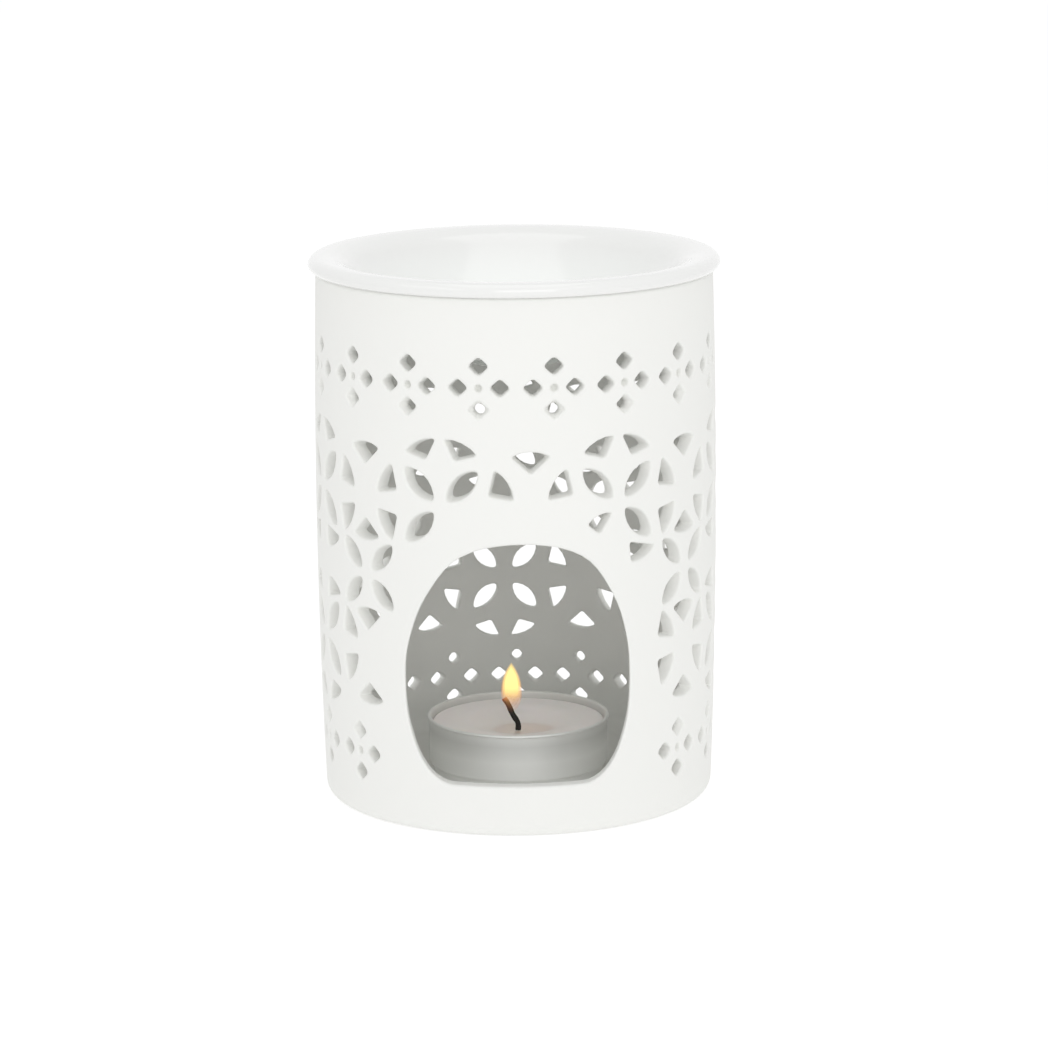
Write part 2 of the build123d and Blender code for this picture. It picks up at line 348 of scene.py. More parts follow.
def narrow_step(kind, spoke):
    """Step from the throat of a hole to the smaller hole below it."""
    if kind == "small diamond":
        return spoke * (side_hole_share - 1)
    if kind == "small round":
        return spoke.normalized() * round_hole_radius - spoke
    if kind == "straight":
        return spoke * -inside_taper_share
    return Vector()


def note(points, middle, kind, rounding):
    """Writes the notes of one outline and opens it out by the rounding of its edge."""
    heart = Vector((middle.x, 0, middle.y))
    steps = [(point, out_of_hole(point)) for point in points]
    for point, outwards in steps:
        spoke = point.co - heart
        if outwards.dot(spoke) < 0:
            outwards.negate()
        point[note_narrow] = narrow_step(kind, spoke)
        point[note_throat] = -outwards * rounding
        point[note_middle] = middle.x
        point[note_kind] = kinds.index(kind)
    for point, outwards in steps:
        point.co += outwards * rounding
        point[note_home] = point.co


def draw_hole(shape, middle, kind):
    """Closed outline of a hole on the slab, its corners rounded."""
    corners, bulges, steps = shape
    drawn = set(slab.verts)
    ends = [middle + corner for corner in corners]
    trace(slab, ends + ends[:1], bulges, steps)
    points = [point for point in slab.verts if point not in drawn]
    bmesh.ops.remove_doubles(slab, verts=points, dist=corner_rounding / 10)
    points = [point for point in slab.verts if point not in drawn]
    if kind != "dimple":
        tips = [p for p in points if min((p.co.xz - end).length for end in ends) < corner_rounding / 10]
        round_corners(slab, tips, diamond_rounding if "diamond" in kind else corner_rounding, 3)
        points = [point for point in slab.verts if point not in drawn]
    note(points, middle, kind, edge_rounding)


for shape, middle, kind in holes:
    for lap in (-girth, 0, girth):
        if abs(middle.x + lap) < girth / 2 + spare_length / 2:
            draw_hole(shape, middle + Vector((lap, 0)), kind)
print(len(slab.verts), "points drawn")

# The opening is one more outline, a straight cut about the middle of the slab
opening_rounding = 0.7
ring = [slab.verts.new((point.x, 0, point.y)) for point in opening_points]
for a, b in zip(ring, ring[1:] + ring[:1]):
    slab.edges.new((a, b))
note(ring, Vector((0, sill_height + opening_height / 2)), "opening", opening_rounding)
print(len(slab.verts), "points with the opening")

# %% [markdown]
# ## The outer face
#
# A frame goes round the outlines, and one fill makes the whole face, with every hole left open.
# The fill's triangles are long and run every way, which would crease when the slab is rolled.
# So the face is cut by a grid of columns and rows, and the fill's own edges are dissolved. What
# stays is a tidy grid of small panels, each bent by no more than one column.
#
# A point within the snap of a grid line counts as on it. A hole's tip that lies that close to a
# row can get a spare face, and its wall then tears when it is extruded. With 27 rows none does, and
# the count of open edges after the seam is welded would show it.

# %% Helpers to fill and grid a face
columns, rows = 120, 27
column_width = girth / columns
spare_columns = 6
grid_snap = 0.25
face_top = body_height - 3 * mouth_rounding
face_foot = 1.5 * foot_rounding
back_foot = floor_height + floor_cove
mark_grid = slab.edges.layers.int.new("grid")


def only(kind, parts):
    """The points, edges or faces among an operator's results."""
    return [part for part in parts if isinstance(part, kind)]


def frame_edges(depth, bottom):
    """Four edges round the slab, a little longer than the girth, at a depth."""
    end = girth / 2 + spare_length
    corners = [(-end, bottom), (end, bottom), (end, face_top), (-end, face_top)]
    points = [slab.verts.new((x, depth, z)) for x, z in corners]
    return [slab.edges.new((a, b)) for a, b in zip(points, points[1:] + points[:1])]


def fill_and_grid(edges, bottom, snap):
    """Fills between the edges, and swaps the fill's own edges for a grid."""
    filled = bmesh.ops.triangle_fill(slab, use_beauty=True, use_dissolve=False, edges=edges)["geom"]
    faces = only(bmesh.types.BMFace, filled)
    own = {edge for face in faces for edge in face.edges}
    points = {point for face in faces for point in face.verts}
    geom = [*points, *own, *faces]
    row_height = (face_top - bottom) / rows
    across = range(-columns // 2 - spare_columns, columns // 2 + spare_columns + 1)
    planes = [((k * column_width, 0, 0), (1, 0, 0)) for k in across]
    planes += [((0, 0, bottom + k * row_height), (0, 0, 1)) for k in range(1, rows)]
    for place, normal in planes:
        cut = bmesh.ops.bisect_plane(slab, geom=geom, dist=snap, plane_co=place, plane_no=normal)
        geom = cut["geom"]
        for edge in only(bmesh.types.BMEdge, cut["geom_cut"]):
            edge[mark_grid] = 1
    ours = set(only(bmesh.types.BMFace, geom))
    loose = [
        edge for edge in only(bmesh.types.BMEdge, geom)
        if not edge[mark_grid] and len(edge.link_faces) == 2 and ours.issuperset(edge.link_faces)
    ]
    bmesh.ops.dissolve_edges(slab, edges=loose, use_verts=False, use_face_split=False)
    lines = {edge for face in ours if face.is_valid for edge in face.edges}
    stray = [
        point for point in {point for edge in lines for point in edge.verts}
        if len(point.link_edges) == 2 and all(edge[mark_grid] for edge in point.link_edges)
        and not point.is_boundary
    ]
    bmesh.ops.dissolve_verts(slab, verts=stray)


# %% Fill the outer face
fill_and_grid(slab.edges[:] + frame_edges(0, face_foot), face_foot, grid_snap)
print(len(slab.faces), "panels on the outer face")

# %% [markdown]
# ## Through the wall
#
# The open edges of the holes are now extruded into the slab, ring after ring, all the holes at
# once. The first rings make the soft edge that a wet sponge leaves. The last ones open out a
# little on the far side. A hole is punched straight, so its sides stay parallel after rolling:
# its rings spread as they go deeper, because the wall is shorter there.

# %% Extrude the holes
def hole_edges(*wanted):
    """Open edges of the holes of these kinds."""
    numbers = {kinds.index(kind) for kind in wanted}
    return [
        edge for edge in slab.edges
        if edge.is_boundary and all(point[note_kind] in numbers for point in edge.verts)
    ]


def ring_place(point, inwards, narrow, depth):
    """Place of a point of a hole's edge on the ring at some depth."""
    place = point[note_home] + point[note_throat] * inwards + point[note_narrow] * narrow
    spoke = (place.x - point[note_middle]) / belly_radius
    spread = wall_radius(place.z) / wall_radius(place.z, depth)
    return Vector((point[note_middle] + belly_radius * asin(sin(spoke) * spread), depth, place.z))


def carve(edges, rings):
    """Extrudes open edges through rings of (share inwards, share narrowed, depth)."""
    for inwards, narrow, depth in rings:
        made = bmesh.ops.extrude_edge_only(slab, edges=edges)["geom"]
        for point in only(bmesh.types.BMVert, made):
            point.co = ring_place(point, inwards, narrow, depth)
        edges = only(bmesh.types.BMEdge, made)
    return edges


def soft_edge(rounding, segments):
    """Rings of a quarter round from the face into a hole."""
    turns = [pi / 2 * (k + 1) / segments for k in range(segments)]
    return [(sin(turn), 0, rounding * (1 - cos(turn))) for turn in turns]


back_rounding, back_curve_share = 0.5, 0.3
recess = 1.0
funnel_start_share, funnel_end_share = 0.35, 1.5
dimple_depth, dimple_wall_share = 1.7, 0.8
dimple_shares = (1.15, 1.6)


def far_side(rounding, narrow):
    """Rings that open out again at the far side of the wall."""
    return [
        (1, narrow, wall - back_rounding),
        (1 - back_curve_share * back_rounding / rounding, narrow, wall - back_curve_share * back_rounding),
        (1 - back_rounding / rounding, narrow, wall),
    ]


funnel = [(1, funnel_start_share, recess), (1, 1, funnel_end_share * recess)]
back = carve(hole_edges("straight"), soft_edge(edge_rounding, 3) + far_side(edge_rounding, 1))
back += carve(hole_edges("diamond"), soft_edge(edge_rounding, 3) + far_side(edge_rounding, 0))
band_rings = soft_edge(edge_rounding, 3) + funnel + far_side(edge_rounding, 1)
back += carve(hole_edges("small diamond", "small round"), band_rings)
back += carve(hole_edges("opening"), soft_edge(opening_rounding, 4) + far_side(opening_rounding, 0))
dimple_rings = soft_edge(edge_rounding, 3)
dimple_rings += [(dimple_shares[0], 0, dimple_wall_share * dimple_depth), (dimple_shares[1], 0, dimple_depth)]
hollows = carve(hole_edges("dimple"), dimple_rings)
bmesh.ops.triangle_fill(slab, use_beauty=True, use_dissolve=True, edges=hollows)
print(len(slab.faces), "faces with the holes' walls")

# %% Fill the inner face
fill_and_grid(back + frame_edges(wall, back_foot), back_foot, grid_snap)
print(len(slab.faces), "faces with the inner face")

# %% [markdown]
# ## Rolling up
#
# The slab is a little longer than its way round. It is trimmed at both ends, rolled onto the
# barrel, and welded along the seam. The mouth, the foot and the floor are turned on a wheel:
# their sections are drawn and spun, with as many steps as the slab has columns, so that every
# point meets its neighbour. The two sides of the seam differ a little, so it is welded twice, and
# the last thin gap is filled.

# %% Trim and roll the slab
for side in (1, -1):
    bmesh.ops.bisect_plane(
        slab, geom=slab.verts[:] + slab.edges[:] + slab.faces[:], dist=0.0001,
        plane_co=(side * girth / 2, 0, 0), plane_no=(side, 0, 0), clear_outer=True,
    )
for point in slab.verts:
    turn = point.co.x / belly_radius
    radius = wall_radius(point.co.z, point.co.y)
    point.co = (radius * sin(turn), -radius * cos(turn), point.co.z)

# %% Turn the mouth, the foot and the floor
def turned(bm, corners, rounded, bulges=None, sides=None, steps=columns):
    """Spins a section of (radius, height) corners round the axis. rounded maps a corner to its arc."""
    count = len(corners) - 1
    drawn = set(bm.verts)
    ends = trace(bm, corners, bulges or [0] * count, sides or [1] * count)
    for k, (rounding, segments) in rounded.items():
        round_corners(bm, [ends[k]], rounding, segments)
    section = [point for point in bm.verts if point not in drawn]
    edges = {edge for point in section for edge in point.link_edges}
    for point in section:
        point.co = (0, point.co.x, point.co.z)
    bmesh.ops.spin(
        bm, geom=[*section, *edges], cent=(0, 0, 0), axis=(0, 0, 1), angle=2 * pi, steps=steps,
        use_merge=True, use_duplicate=False,
    )


mouth, mouth_inside = wall_radius(body_height), wall_radius(body_height, wall)
foot, ring_inside = wall_radius(0), wall_radius(0) - foot_ring_width
mouth_section = [
    (wall_radius(face_top), face_top), (mouth, body_height),
    (mouth_inside, body_height), (wall_radius(face_top, wall), face_top),
]
foot_section = [
    (wall_radius(face_foot), face_foot), (foot, 0),
    (ring_inside, 0), (ring_inside, foot_hollow), (0, foot_hollow),
]
floor_section = [
    (wall_radius(back_foot, wall), back_foot),
    (wall_radius(floor_height, wall), floor_height), (0, floor_height),
]
turned(slab, mouth_section, {1: (mouth_rounding, 4), 2: (mouth_rounding, 4)})
turned(slab, foot_section, {1: (foot_rounding, 6), 2: (foot_hollow / 2, 2), 3: (foot_hollow / 3, 2)})
turned(slab, floor_section, {1: (floor_cove, 6)})

# %% Weld the seam
seam_gap = 0.3
bmesh.ops.remove_doubles(slab, verts=slab.verts, dist=seam_gap / 30)
for lap in range(2):
    seam = {point for edge in slab.edges if edge.is_boundary for point in edge.verts}
    bmesh.ops.remove_doubles(slab, verts=list(seam), dist=seam_gap)
bmesh.ops.holes_fill(slab, edges=[edge for edge in slab.edges if edge.is_boundary])
bmesh.ops.contextual_create(slab, geom=[edge for edge in slab.edges if edge.is_boundary])
bmesh.ops.delete(slab, geom=[edge for edge in slab.edges if edge.is_wire], context="EDGES")
open_edges = sum(not edge.is_manifold for edge in slab.edges)
print(f"{len(slab.faces)} faces, {open_edges} open edges")

# %% Helper that makes a finished piece
def piece(bm, name, material, body):
    """Brings a mesh to metres, names it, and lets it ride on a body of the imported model."""
    bmesh.ops.remove_doubles(bm, verts=bm.verts, dist=0.01)
    bmesh.ops.recalc_face_normals(bm, faces=bm.faces)
    print(f"{name}: {bm.calc_volume() / 1000:.2f} ml")
    bmesh.ops.scale(bm, vec=(mm, mm, mm), verts=bm.verts)
    mesh = bpy.data.meshes.new(name)
    bm.to_mesh(mesh)
    bm.free()
    mesh.shade_smooth()
    mesh.materials.append(material)
    made = bpy.data.objects.new(name, mesh)
    bpy.context.scene.collection.objects.link(made)
    made.modifiers.new("even shading", "WEIGHTED_NORMAL")
    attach(made, body)
    triangles = sum(len(face.vertices) - 2 for face in mesh.polygons)
    print(f"{name}: {triangles} triangles")
    return made


# %% [markdown]
# ## Finishes
#
# Every finish is one principled shader. Its plain numbers are set on the shader, and noise in the
# piece's own coordinates adds the grain.

# %% Helpers for finishes
def finish(name, colour, roughness, more=()):
    """Material with a principled shader, whose other sockets are named in more."""
    made = bpy.data.materials.new(name)
    made.use_nodes = True
    sockets = made.node_tree.nodes["Principled BSDF"].inputs
    sockets["Base Color"].default_value = (*colour, 1)
    sockets["Roughness"].default_value = roughness
    for socket, value in dict(more).items():
        sockets[socket].default_value = value
    return made


def add_node(made, kind, values=(), **settings):
    """Node of a material, with some of its sockets and settings filled in."""
    node = made.node_tree.nodes.new(kind)
    for socket, value in dict(values).items():
        node.inputs[socket].default_value = value
    for setting, value in settings.items():
        setattr(node, setting, value)
    return node


def join(made, *sockets):
    """Links the sockets in pairs, an output to an input."""
    for output, end in zip(sockets[::2], sockets[1::2]):
        made.node_tree.links.new(output, end)


def shader_of(made):
    """Input sockets of a material's principled shader."""
    return made.node_tree.nodes["Principled BSDF"].inputs


def grain(made, size, depth, detail=2):
    """Fine relief from noise, its grains of one size in metres."""
    place = add_node(made, "ShaderNodeTexCoord").outputs["Object"]
    noise = add_node(made, "ShaderNodeTexNoise", {"Scale": 1 / size, "Detail": detail})
    bump = add_node(made, "ShaderNodeBump", {"Distance": depth, "Strength": 1})
    join(made, place, noise.inputs["Vector"], noise.outputs["Fac"], bump.inputs["Height"])
    join(made, bump.outputs["Normal"], shader_of(made)["Normal"])


def ramp_along(made, source, stops):
    """Colour ramp over a value, from (place, colour) stops, the first and last at 0 and 1."""
    ramp = add_node(made, "ShaderNodeValToRGB")
    elements = ramp.color_ramp.elements
    for element, (place, colour) in zip(elements, (stops[0], stops[-1])):
        element.position, element.color = place, (*colour, 1)
    for place, colour in stops[1:-1]:
        elements.new(place).color = (*colour, 1)
    join(made, source, ramp.inputs["Fac"])
    return ramp.outputs["Color"]


def height_share(made, low, high):
    """How far up a point is between two heights in metres, from 0 to 1."""
    place = add_node(made, "ShaderNodeTexCoord").outputs["Object"]
    parts = add_node(made, "ShaderNodeSeparateXYZ")
    span = add_node(made, "ShaderNodeMapRange", {"From Min": low, "From Max": high})
    join(made, place, parts.inputs["Vector"], parts.outputs["Z"], span.inputs["Value"])
    return span.outputs["Result"]


# %% The body's finish
bisque = finish("bisque clay", (0.905, 0.908, 0.882), 0.75, {"Specular IOR Level": 0.35})
grain(bisque, 0.0006, 0.00002)

# %% Dress the body
fretted_body = piece(slab, "fretted_body", bisque, "body")
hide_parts("burner_body")

# %% [markdown]
# ## The dish
#
# The dish was thrown on a wheel, and a spun section is just that. Its crest is horizontal where
# the bowl turns over into the rolled lip. It is dipped in clear glaze, so the clay shines, and
# the glaze is a little green where it pools in the bowl. On top of that its colour is painted
# lighter down in the bowl and darker up at the lip, as painted light and shade.

# %% Turn the dish
lip_height = 3.0
lip_overhang = 1.6
lip_edge_radius = 1.3
lip_crown_width = 2.2
lip_crown_bulge = 0.56
neck_gap = 1.0
neck_radius = mouth_inside - neck_gap
bowl_wall = 3.0
bowl_radius = neck_radius - bowl_wall
bowl_depth = 16.7
dish_foot_radius = 10.0
dish_radius = mouth + lip_overhang
crest_radius = dish_radius - lip_crown_width
bowl_floor = body_height - bowl_depth
bowl_sphere = (bowl_radius**2 + bowl_depth**2) / (2 * bowl_depth)


def underside(radius):
    """Point of the bowl's underside at a radius."""
    return radius, bowl_floor + bowl_sphere - sqrt((bowl_sphere + bowl_wall) ** 2 - radius**2)


def sagitta(start, end, radius):
    """How far an arc of some radius swells past its chord."""
    return radius - sqrt(radius**2 - (Vector(end) - Vector(start)).length_squared / 4)


bowl_bottom, bowl_edge = (0, bowl_floor), (bowl_radius, body_height)
crest = (crest_radius, body_height + lip_height)
flare_run = crest_radius - bowl_radius
flare_turn = asin(bowl_radius / bowl_sphere) - atan2(lip_height, flare_run)
flare_bulge = sqrt(flare_run**2 + lip_height**2) / 2 * tan(flare_turn / 2)
dish_section = [
    (0, bowl_floor - bowl_wall),
    (dish_foot_radius, bowl_floor - bowl_wall),
    underside(dish_foot_radius),
    underside(neck_radius),
    (neck_radius, body_height),
    (dish_radius - lip_edge_radius, body_height),
    (dish_radius, body_height + lip_edge_radius),
    crest,
    bowl_edge,
    bowl_bottom,
]
dish_bulges = [
    0, 0, sagitta(underside(dish_foot_radius), underside(neck_radius), bowl_sphere + bowl_wall), 0, 0,
    lip_edge_radius * (1 - cos(pi / 4)), lip_crown_bulge, flare_bulge,
    -sagitta(bowl_bottom, bowl_edge, bowl_sphere),
]
clay_dish = bmesh.new()
dish_foot_rounding, underside_rounding = 0.6, 0.3
dish_rounded = {1: (dish_foot_rounding, 3), 2: (underside_rounding, 2), 3: (underside_rounding, 2)}
dish_sides = [1, 1, 10, 1, 1, 4, 8, 8, 16]
turned(clay_dish, dish_section, dish_rounded, dish_bulges, dish_sides)

# %% The dish's finish
glaze = finish("clear glaze", (0.88, 0.885, 0.87), 0.16, {
    "Coat Weight": 0.6, "Coat Roughness": 0.05,
})
# Painted light and shade: the glaze is painted lighter in the bowl and darker at the lip; only its green
# where it pools is its own.
glaze_green_and_painted_light = ramp_along(
    glaze, height_share(glaze, bowl_floor * mm, body_height * mm),
    [(0, (0.95, 0.985, 0.955)), (0.5, (0.93, 0.95, 0.93)), (1, (0.87, 0.873, 0.86))],
)
join(glaze, glaze_green_and_painted_light, shader_of(glaze)["Base Color"])
glazed_dish = piece(clay_dish, "glazed_dish", glaze, "dish")
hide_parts("oil_dish")

# %% [markdown]
# ## The tealight
#
# The cup is pressed from thin aluminium sheet. Its rim is rolled over and its base is stepped in,
# so that cups can be stacked. The wax stands a little away from it, and is dished by the pool of
# melted wax round the wick.

# %% Press the cup
cup_radius, cup_height = 19.0, 12.2
foil = 0.4
bead = 0.35
step_radius, step_rise = 18.1, 1.7
step_height = floor_height + step_rise
step_rounding = 0.3
corner = 0.5
rim_height = floor_height + cup_height - bead
cup_section = [
    (0, floor_height), (step_radius - corner, floor_height), (step_radius, floor_height + corner),
    (step_radius, step_height), (cup_radius, step_height + corner), (cup_radius, rim_height - bead),
    (cup_radius + bead, rim_height), (cup_radius, rim_height + bead), (cup_radius - foil, rim_height),
    (cup_radius - foil, step_height + corner), (step_radius - foil, step_height),
    (step_radius - foil, floor_height + foil), (0, floor_height + foil),
]
roll = bead * (1 - cos(pi / 4))
cup_bulges = [0, roll, 0, 0, 0, roll, roll, roll, 0, 0, 0, 0]
pressed_cup = bmesh.new()
cup_rounded = {3: (step_rounding, 2), 4: (step_rounding, 2)}
cup_sides = [1, 3, 1, 1, 1, 3, 3, 3, 1, 1, 1, 1]
turned(pressed_cup, cup_section, cup_rounded, cup_bulges, cup_sides)

# %% The foil's finish
foil_metal = finish("satin aluminium", (0.88, 0.885, 0.865), 0.55, {"Metallic": 0.4})
grain(foil_metal, 0.003, 0.00003)
# Painted reflections: the foil is banded along its height, darker below the rim and brightest at the rim
# line, standing in for what the metal reflects.
cup_share = height_share(foil_metal, floor_height * mm, (floor_height + cup_height) * mm)
drawn = ramp_along(foil_metal, cup_share, [
    (0, (0.90, 0.905, 0.885)), (0.5, (0.90, 0.905, 0.885)), (0.78, (0.73, 0.735, 0.715)),
    (0.93, (0.80, 0.805, 0.785)), (1, (0.92, 0.925, 0.905)),
])
join(foil_metal, drawn, shader_of(foil_metal)["Base Color"])
foil_cup = piece(pressed_cup, "foil_cup", foil_metal, "tealight")
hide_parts("tealight_cup")

# %% Pour the wax
candle_base = floor_height + foil
wax_below_rim, wax_gap, wax_rounding = 1.4, 0.3, 0.5
pool_depth, pool_radius = 1.2, 12.0
pool_edge_rounding, pool_bulge = 1.5, 0.6
wax_edge = floor_height + cup_height - wax_below_rim
pool_height = wax_edge - pool_depth
wax_radius, wax_step_radius = cup_radius - foil - wax_gap, step_radius - foil - wax_gap
wax_section = [
    (0, candle_base), (wax_step_radius, candle_base), (wax_step_radius, step_height + corner),
    (wax_radius, step_height + 2 * corner), (wax_radius, wax_edge), (pool_radius, wax_edge), (0, pool_height),
]
poured = bmesh.new()
wax_rounded = {4: (wax_rounding, 3), 5: (pool_edge_rounding, 4)}
turned(poured, wax_section, wax_rounded, [0, 0, 0, 0, 0, -pool_bulge], [1, 1, 1, 1, 1, 8])

# %% The wax's finish
# Painted light: the wax gives off a faint warm glow, standing in for light that falls on it.
wax = finish("paraffin wax", (0.9, 0.86, 0.845), 0.4, {
    "Subsurface Weight": 0.15, "Subsurface Scale": 0.002, "Coat Weight": 0.2,
    "Emission Color": (1, 0.93, 0.89, 1), "Emission Strength": 0.08,
})
pool_heart = Vector((0.8, -4.6, pool_height)) * mm
ripple_scale, waver_width = 260.0, 0.0022
pool_start, pool_end = 0.001, 0.0105
place = add_node(wax, "ShaderNodeTexCoord").outputs["Object"]
ripple = add_node(wax, "ShaderNodeTexNoise", {"Scale": ripple_scale, "Detail": 1.0})
away = add_node(wax, "ShaderNodeVectorMath", {1: pool_heart}, operation="DISTANCE")
waver = add_node(wax, "ShaderNodeMath", {1: waver_width}, operation="MULTIPLY_ADD")
reach = add_node(wax, "ShaderNodeMapRange", {"From Min": pool_start, "From Max": pool_end})
join(
    wax, place, away.inputs[0], place, ripple.inputs["Vector"], ripple.outputs["Fac"], waver.inputs[0],
    away.outputs["Value"], waver.inputs[2], waver.outputs["Value"], reach.inputs["Value"],
)
pool_colours = ramp_along(wax, reach.outputs["Result"], [
    (0, (0.76, 0.66, 0.57)), (0.3, (0.84, 0.72, 0.65)), (0.62, (0.80, 0.70, 0.65)),
    (0.78, (0.90, 0.85, 0.83)), (1, (0.93, 0.89, 0.88)),
])
join(wax, pool_colours, shader_of(wax)["Base Color"])
wax_cake = piece(poured, "wax_cake", wax, "candle")
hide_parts("tealight_wax")

# %% [markdown]
# The wick is three strands twisted together. Its trefoil outline is drawn once at the bottom and
# extruded step by step, turning as it goes. Above the wax it bends over to the left, as a braided
# wick does while it burns, and its tip glows.

# %% Twist the wick
wick_place = Vector((0, -4.0, candle_base))
strand_offset, strand_bulge = 0.37, 0.52
valley_share = 0.75
upright_steps, bend_steps, tip_steps = 20, 4, 9
wick_stub = 0.2
bend_start = pool_height + wick_stub
bend_radius, bend_turn, tip_run = 4.0, radians(27), 5.4
twist = radians(16)

braid = bmesh.new()
lobes = [Vector((strand_offset * cos(k * 2 * pi / 3), strand_offset * sin(k * 2 * pi / 3))) for k in range(3)]
valleys = [valley_share * (lobes[k] + lobes[k - 1]) for k in range(3)]
trace(braid, [*valleys, valleys[0]], [strand_bulge] * 3, [5] * 3)
bmesh.ops.remove_doubles(braid, verts=braid.verts, dist=0.001)
bmesh.ops.rotate(braid, cent=(0, 0, 0), matrix=Matrix.Rotation(pi / 2, 3, "X"), verts=braid.verts)
bmesh.ops.translate(braid, vec=wick_place, verts=braid.verts)


def spin_on(edges, centre, heading, move=None, bend=None):
    """Extrudes the end of the wick by one step, and twists it."""
    made = bmesh.ops.extrude_edge_only(braid, edges=edges)["geom"]
    points = only(bmesh.types.BMVert, made)
    if move:
        bmesh.ops.translate(braid, vec=move, verts=points)
        centre = centre + move
    if bend:
        middle, turn = bend
        bmesh.ops.rotate(braid, cent=middle, matrix=turn, verts=points)
        centre, heading = turn @ (centre - middle) + middle, turn @ heading
    bmesh.ops.rotate(braid, cent=centre, matrix=Matrix.Rotation(twist, 3, heading), verts=points)
    return only(bmesh.types.BMEdge, made), centre, heading


ends, centre, heading = braid.edges[:], wick_place.copy(), Vector((0, 0, 1))
rise = Vector((0, 0, (bend_start - candle_base) / upright_steps))
for k in range(upright_steps):
    ends, centre, heading = spin_on(ends, centre, heading, move=rise)
bend_middle = centre + Vector((-bend_radius, 0, 0))
small_turn = Matrix.Rotation(-bend_turn / bend_steps, 3, "Y")
for k in range(bend_steps):
    ends, centre, heading = spin_on(ends, centre, heading, bend=(bend_middle, small_turn))
for k in range(tip_steps):
    ends, centre, heading = spin_on(ends, centre, heading, move=heading * tip_run / tip_steps)
bmesh.ops.holes_fill(braid, edges=[edge for edge in braid.edges if edge.is_boundary])
print("Tip of the wick:", [round(x, 2) for x in centre])

# %% The wick's finish
cotton = finish("charred cotton", (0.02, 0.018, 0.017), 0.85)
glow_low, glow_high = 0.018, 0.0207
glow = ramp_along(
    cotton, height_share(cotton, glow_low, glow_high),
    [(0, (0, 0, 0)), (0.55, (0.03, 0.005, 0.001)), (1, (0.45, 0.07, 0.03))],
)
join(cotton, glow, shader_of(cotton)["Emission Color"])
shader_of(cotton)["Emission Strength"].default_value = 1
twisted_wick = piece(braid, "twisted_wick", cotton, "candle")
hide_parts("wick")

tin = finish("tinned sheet", (0.72, 0.72, 0.70), 0.4, {"Metallic": 1.0})
for material_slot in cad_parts["wick_sustainer"].material_slots:
    material_slot.material = tin

# %% [markdown]
# ## The flame
#
# A flame isn't a solid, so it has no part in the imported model. It is three thin drops, one in the
# other, that give off light. The outer ones are faint, and all can be seen through at the bottom.

# %% Shape the flame
lower_bulge_share, upper_bulge_share = 0.32, 0.28


def flame_drop(name, low, wide, high, radius, colours, opacity):
    """Drop from a low point through its widest height to a high tip, with a glow along it."""
    drop = bmesh.new()
    bulges = [radius * lower_bulge_share, radius * upper_bulge_share]
    turned(drop, [(0, low), (radius, wide), (0, high)], {}, bulges, [6, 10], steps=24)
    bmesh.ops.translate(drop, vec=flame_place, verts=drop.verts)
    made = finish(name, (0, 0, 0), 1.0, {"Specular IOR Level": 0.0, "Emission Strength": 1.0})
    share = height_share(made, low * mm, high * mm)
    join(made, ramp_along(made, share, colours), shader_of(made)["Emission Color"])
    join(made, ramp_along(made, share, opacity), shader_of(made)["Alpha"])
    return piece(drop, name, made, "candle")


def grey(value):
    """A colour of one value."""
    return (value, value, value)


flame_place = Vector((-1.4, wick_place.y, 0))
ember, amber, straw, pale = (0.9, 0.30, 0.12), (1.0, 0.52, 0.2), (1.3, 0.95, 0.35), (1.6, 1.5, 0.55)
flame_drop(
    "flame_haze", low=16.7, wide=21.6, high=27.9, radius=2.15,
    colours=[(0, ember), (0.5, amber), (1, straw)],
    opacity=[(0, grey(0.0)), (0.25, grey(0.1)), (0.5, grey(0.3)), (1, grey(0.25))],
)
flame_drop(
    "flame_mantle", low=17.7, wide=21.8, high=27.4, radius=1.85,
    colours=[(0, ember), (0.45, straw), (1, straw)],
    opacity=[(0, grey(0.0)), (0.25, grey(0.12)), (0.5, grey(0.45)), (1, grey(0.6))],
)
flame_drop(
    "flame_core", low=18.6, wide=22.4, high=26.8, radius=1.45,
    colours=[(0, amber), (0.3, straw), (0.5, pale), (1, pale)],
    opacity=[(0, grey(0.0)), (0.25, grey(0.15)), (0.45, grey(0.75)), (1, grey(0.95))],
)

# %% [markdown]
# ## The studio
#
# The burner stands on white paper in a white room, so the light comes evenly from all round. A
# large lamp in front brightens the middle of the barrel and reaches into the chamber. Two long
# lamps higher up draw the two bright lines on the lip, and a wide faint one overhead lights the
# bowl. The paper gives off some light of its own, so it is white to the camera and the burner's
# shadow on it stays faint.

# %% Floor and room
floor_mesh = bmesh.new()
bmesh.ops.create_grid(floor_mesh, x_segments=1, y_segments=1, size=2.0)
floor_data = bpy.data.meshes.new("floor")
floor_mesh.to_mesh(floor_data)
floor_mesh.free()
floor = bpy.data.objects.new("floor", floor_data)
bpy.context.scene.collection.objects.link(floor)


def seen_directly(tree):
    """Socket that is 1 for rays from the camera, from a mirror or through a see-through piece."""
    rays = tree.nodes.new("ShaderNodeLightPath")
    value = rays.outputs["Is Camera Ray"]
    for name in ("Is Glossy Ray", "Is Transmission Ray"):
        larger = tree.nodes.new("ShaderNodeMath")
        larger.operation = "MAXIMUM"
        tree.links.new(value, larger.inputs[0])
        tree.links.new(rays.outputs[name], larger.inputs[1])
        value = larger.outputs["Value"]
    return value


def strength_by_ray(tree, others, direct, end):
    """Sets a strength to one value for direct rays and to another for the rest."""
    span = tree.nodes.new("ShaderNodeMapRange")
    span.inputs["To Min"].default_value = others
    span.inputs["To Max"].default_value = direct
    tree.links.new(seen_directly(tree), span.inputs["Value"])
    tree.links.new(span.outputs["Result"], end)


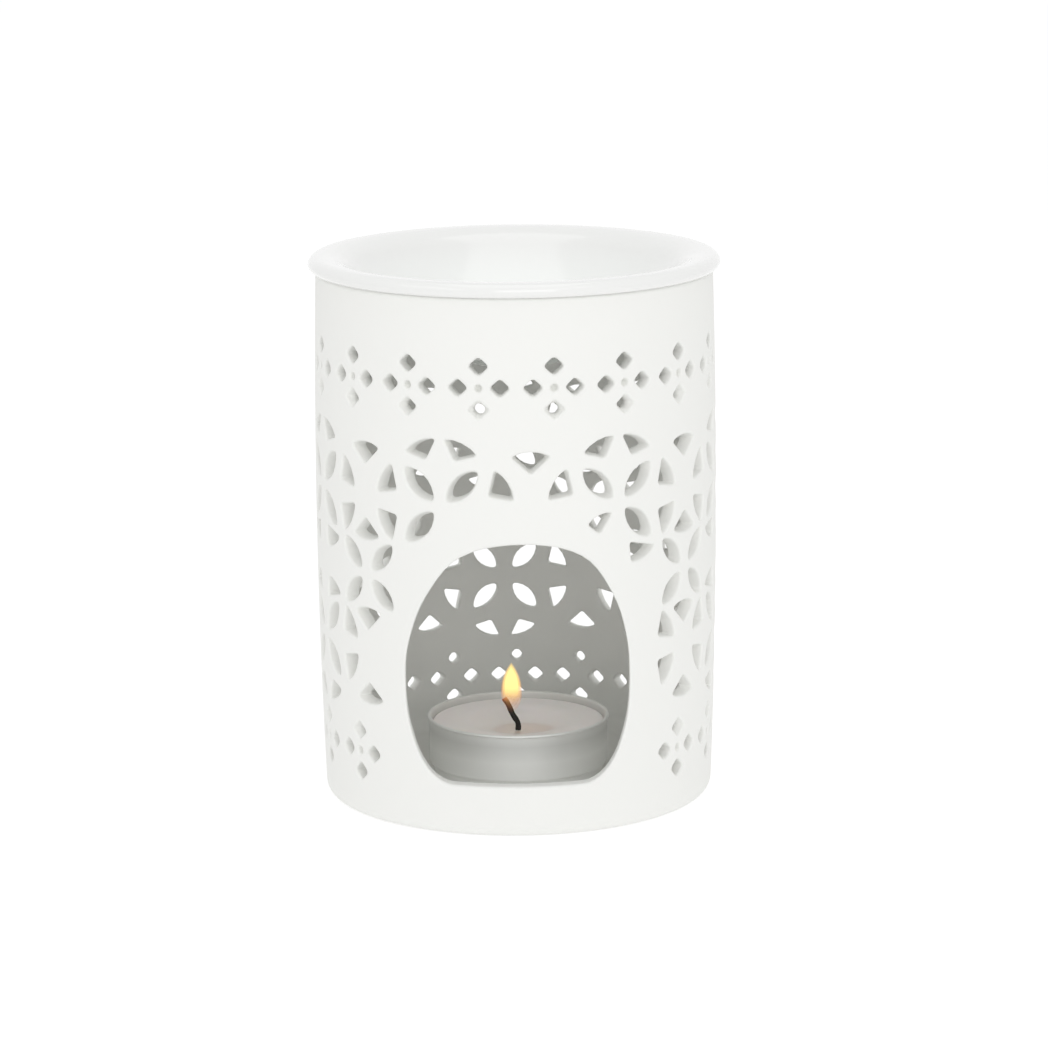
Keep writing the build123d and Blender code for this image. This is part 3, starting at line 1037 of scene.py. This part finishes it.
paper = finish("white paper", (0.6, 0.6, 0.6), 0.9, {
    "Specular IOR Level": 0.0, "Emission Color": (1, 1, 1, 1),
})
strength_by_ray(paper.node_tree, others=0.42, direct=0.55, end=shader_of(paper)["Emission Strength"])
floor_data.materials.append(paper)

world = bpy.data.worlds.new("white room")
world.use_nodes = True
room = world.node_tree.nodes["Background"]
room.inputs["Color"].default_value = (1, 1, 1, 1)
strength_by_ray(world.node_tree, others=0.75, direct=1.0, end=room.inputs["Strength"])
bpy.context.scene.world = world

# %% Lamps
def lamp(name, place, target, width, height, power):
    """Soft oblong lamp that faces a point."""
    light = bpy.data.lights.new(name, "AREA")
    light.shape = "RECTANGLE"
    light.size, light.size_y, light.energy = width, height, power
    made = bpy.data.objects.new(name, light)
    made.location = place
    made.rotation_euler = (Vector(target) - Vector(place)).to_track_quat("-Z", "Y").to_euler()
    bpy.context.scene.collection.objects.link(made)


heart = (0, 0, 0.06)
lip_front = Vector((0, -dish_radius, body_height)) * mm
lamp("front lamp", (0.12, -1.0, 0.5), heart, width=0.6, height=0.6, power=1.72)
lamp("left lamp", (-0.60, -0.47, 0.79), lip_front, width=0.6, height=0.05, power=0.31)
lamp("right lamp", (0.47, -0.58, 0.82), lip_front, width=0.35, height=0.05, power=0.18)
lamp("top lamp", (0, 0, 1.2), heart, width=0.8, height=0.8, power=1.2)

# %% [markdown]
# ## The camera
#
# The camera was fitted to the photograph: it looks down by twelve degrees, from a little under a
# metre, and is turned by half a degree in its mount.

# %% Camera
sensor_width, focal_length = 36.0, 145.99
camera_place = Vector((1.591, -879.635, 247.229)) * mm
right = Vector((0.99996, -0.00191, -0.00884))
up = Vector((0.00905, 0.21120, 0.97740))
back_axis = right.cross(up)
camera_data = bpy.data.cameras.new("camera")
camera_data.sensor_width, camera_data.lens = sensor_width, focal_length
camera = bpy.data.objects.new("camera", camera_data)
camera.rotation_euler = Matrix((right, up, back_axis)).transposed().to_euler()
camera.location = camera_place
bpy.context.scene.collection.objects.link(camera)
bpy.context.scene.camera = camera
bpy.context.scene.view_settings.view_transform = "Standard"
